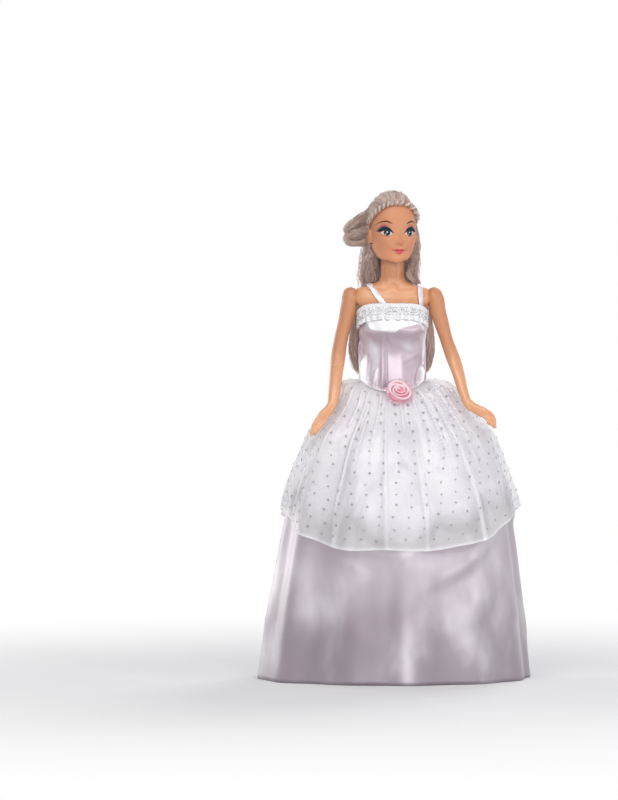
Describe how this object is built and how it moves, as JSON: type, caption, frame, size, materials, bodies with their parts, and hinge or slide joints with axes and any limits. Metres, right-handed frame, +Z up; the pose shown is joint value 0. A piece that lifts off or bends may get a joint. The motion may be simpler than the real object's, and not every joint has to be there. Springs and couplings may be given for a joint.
{
  "type": "fashion doll",
  "caption": "Standing fashion doll in a strapped satin and tulle ball gown, with turning head and arms and legs that sit.",
  "frame": {"origin": "on the floor, below the neck, at the middle of the skirt's hem", "axes": "+Z up, the doll faces -Y, its left hand is at +X"},
  "size_m": [0.1634, 0.1228, 0.2898],
  "materials": {
    "body_plastic": "smooth moulded plastic, warm tan",
    "face_vinyl": "soft vinyl with painted features",
    "hair": "fine glossy fibre, pale ash blonde",
    "satin": "white satin with a soft sheen",
    "tulle": "sheer white net with silver dots",
    "silver_lace": "white lace with silver thread",
    "rose_ribbon": "pink satin ribbon",
    "rose_sheer": "sheer pink ribbon",
    "hip_nylon": "natural nylon",
    "shoe_plastic": "glossy white plastic"
  },
  "bodies": {
    "torso": {"torso_front": "body_plastic", "torso_back": "body_plastic", "bodice": "satin", "bodice_lace": "silver_lace", "back_placket": "satin", "right_strap": "satin", "left_strap": "satin", "underskirt": "satin", "overskirt": "tulle", "waist_rose": "rose_ribbon", "rose_frill": "rose_sheer"},
    "head": {"head": "face_vinyl", "hair_cap": "hair", "front_twist": "hair", "flip_lock": "hair", "right_side_lock": "hair", "left_side_lock": "hair", "back_hair": "hair"},
    "right_arm": {"right_arm": "body_plastic"},
    "left_arm": {"left_arm": "body_plastic"},
    "hips": {"hip_rod": "hip_nylon"},
    "right_leg": {"right_leg": "body_plastic", "right_shoe": "shoe_plastic"},
    "left_leg": {"left_leg": "body_plastic", "left_shoe": "shoe_plastic"}
  },
  "joints": [
    {"name": "head_turn", "type": "hinge", "parent": "torso", "child": "head", "pos_m": [0, 0, 0.2456], "axis": [0, 0, 1], "range_deg": [-105, 75], "deforming": ["right_side_lock", "left_side_lock", "back_hair", "flip_lock"]},
    {"name": "right_shoulder", "type": "hinge", "parent": "torso", "child": "right_arm", "pos_m": [-0.0222, 0, 0.226], "axis": [-1, 0, 0], "continuous": true, "deforming": ["underskirt", "overskirt", "flip_lock"]},
    {"name": "left_shoulder", "type": "hinge", "parent": "torso", "child": "left_arm", "pos_m": [0.0222, 0, 0.226], "axis": [-1, 0, 0], "continuous": true, "deforming": ["underskirt", "overskirt"]},
    {"name": "hips_sit", "type": "hinge", "parent": "torso", "child": "hips", "pos_m": [0, 0, 0.143], "axis": [-1, 0, 0], "range_deg": [-8, 78], "deforming": ["underskirt", "overskirt"]},
    {"name": "right_leg_swing", "type": "hinge", "parent": "hips", "child": "right_leg", "pos_m": [-0.011, 0, 0.143], "axis": [-1, 0, 0], "range_deg": [-12, 12], "deforming": ["underskirt", "overskirt"]},
    {"name": "left_leg_swing", "type": "hinge", "parent": "hips", "child": "left_leg", "pos_m": [0.011, 0, 0.143], "axis": [-1, 0, 0], "range_deg": [-12, 12], "deforming": ["underskirt", "overskirt"]}
  ]
}
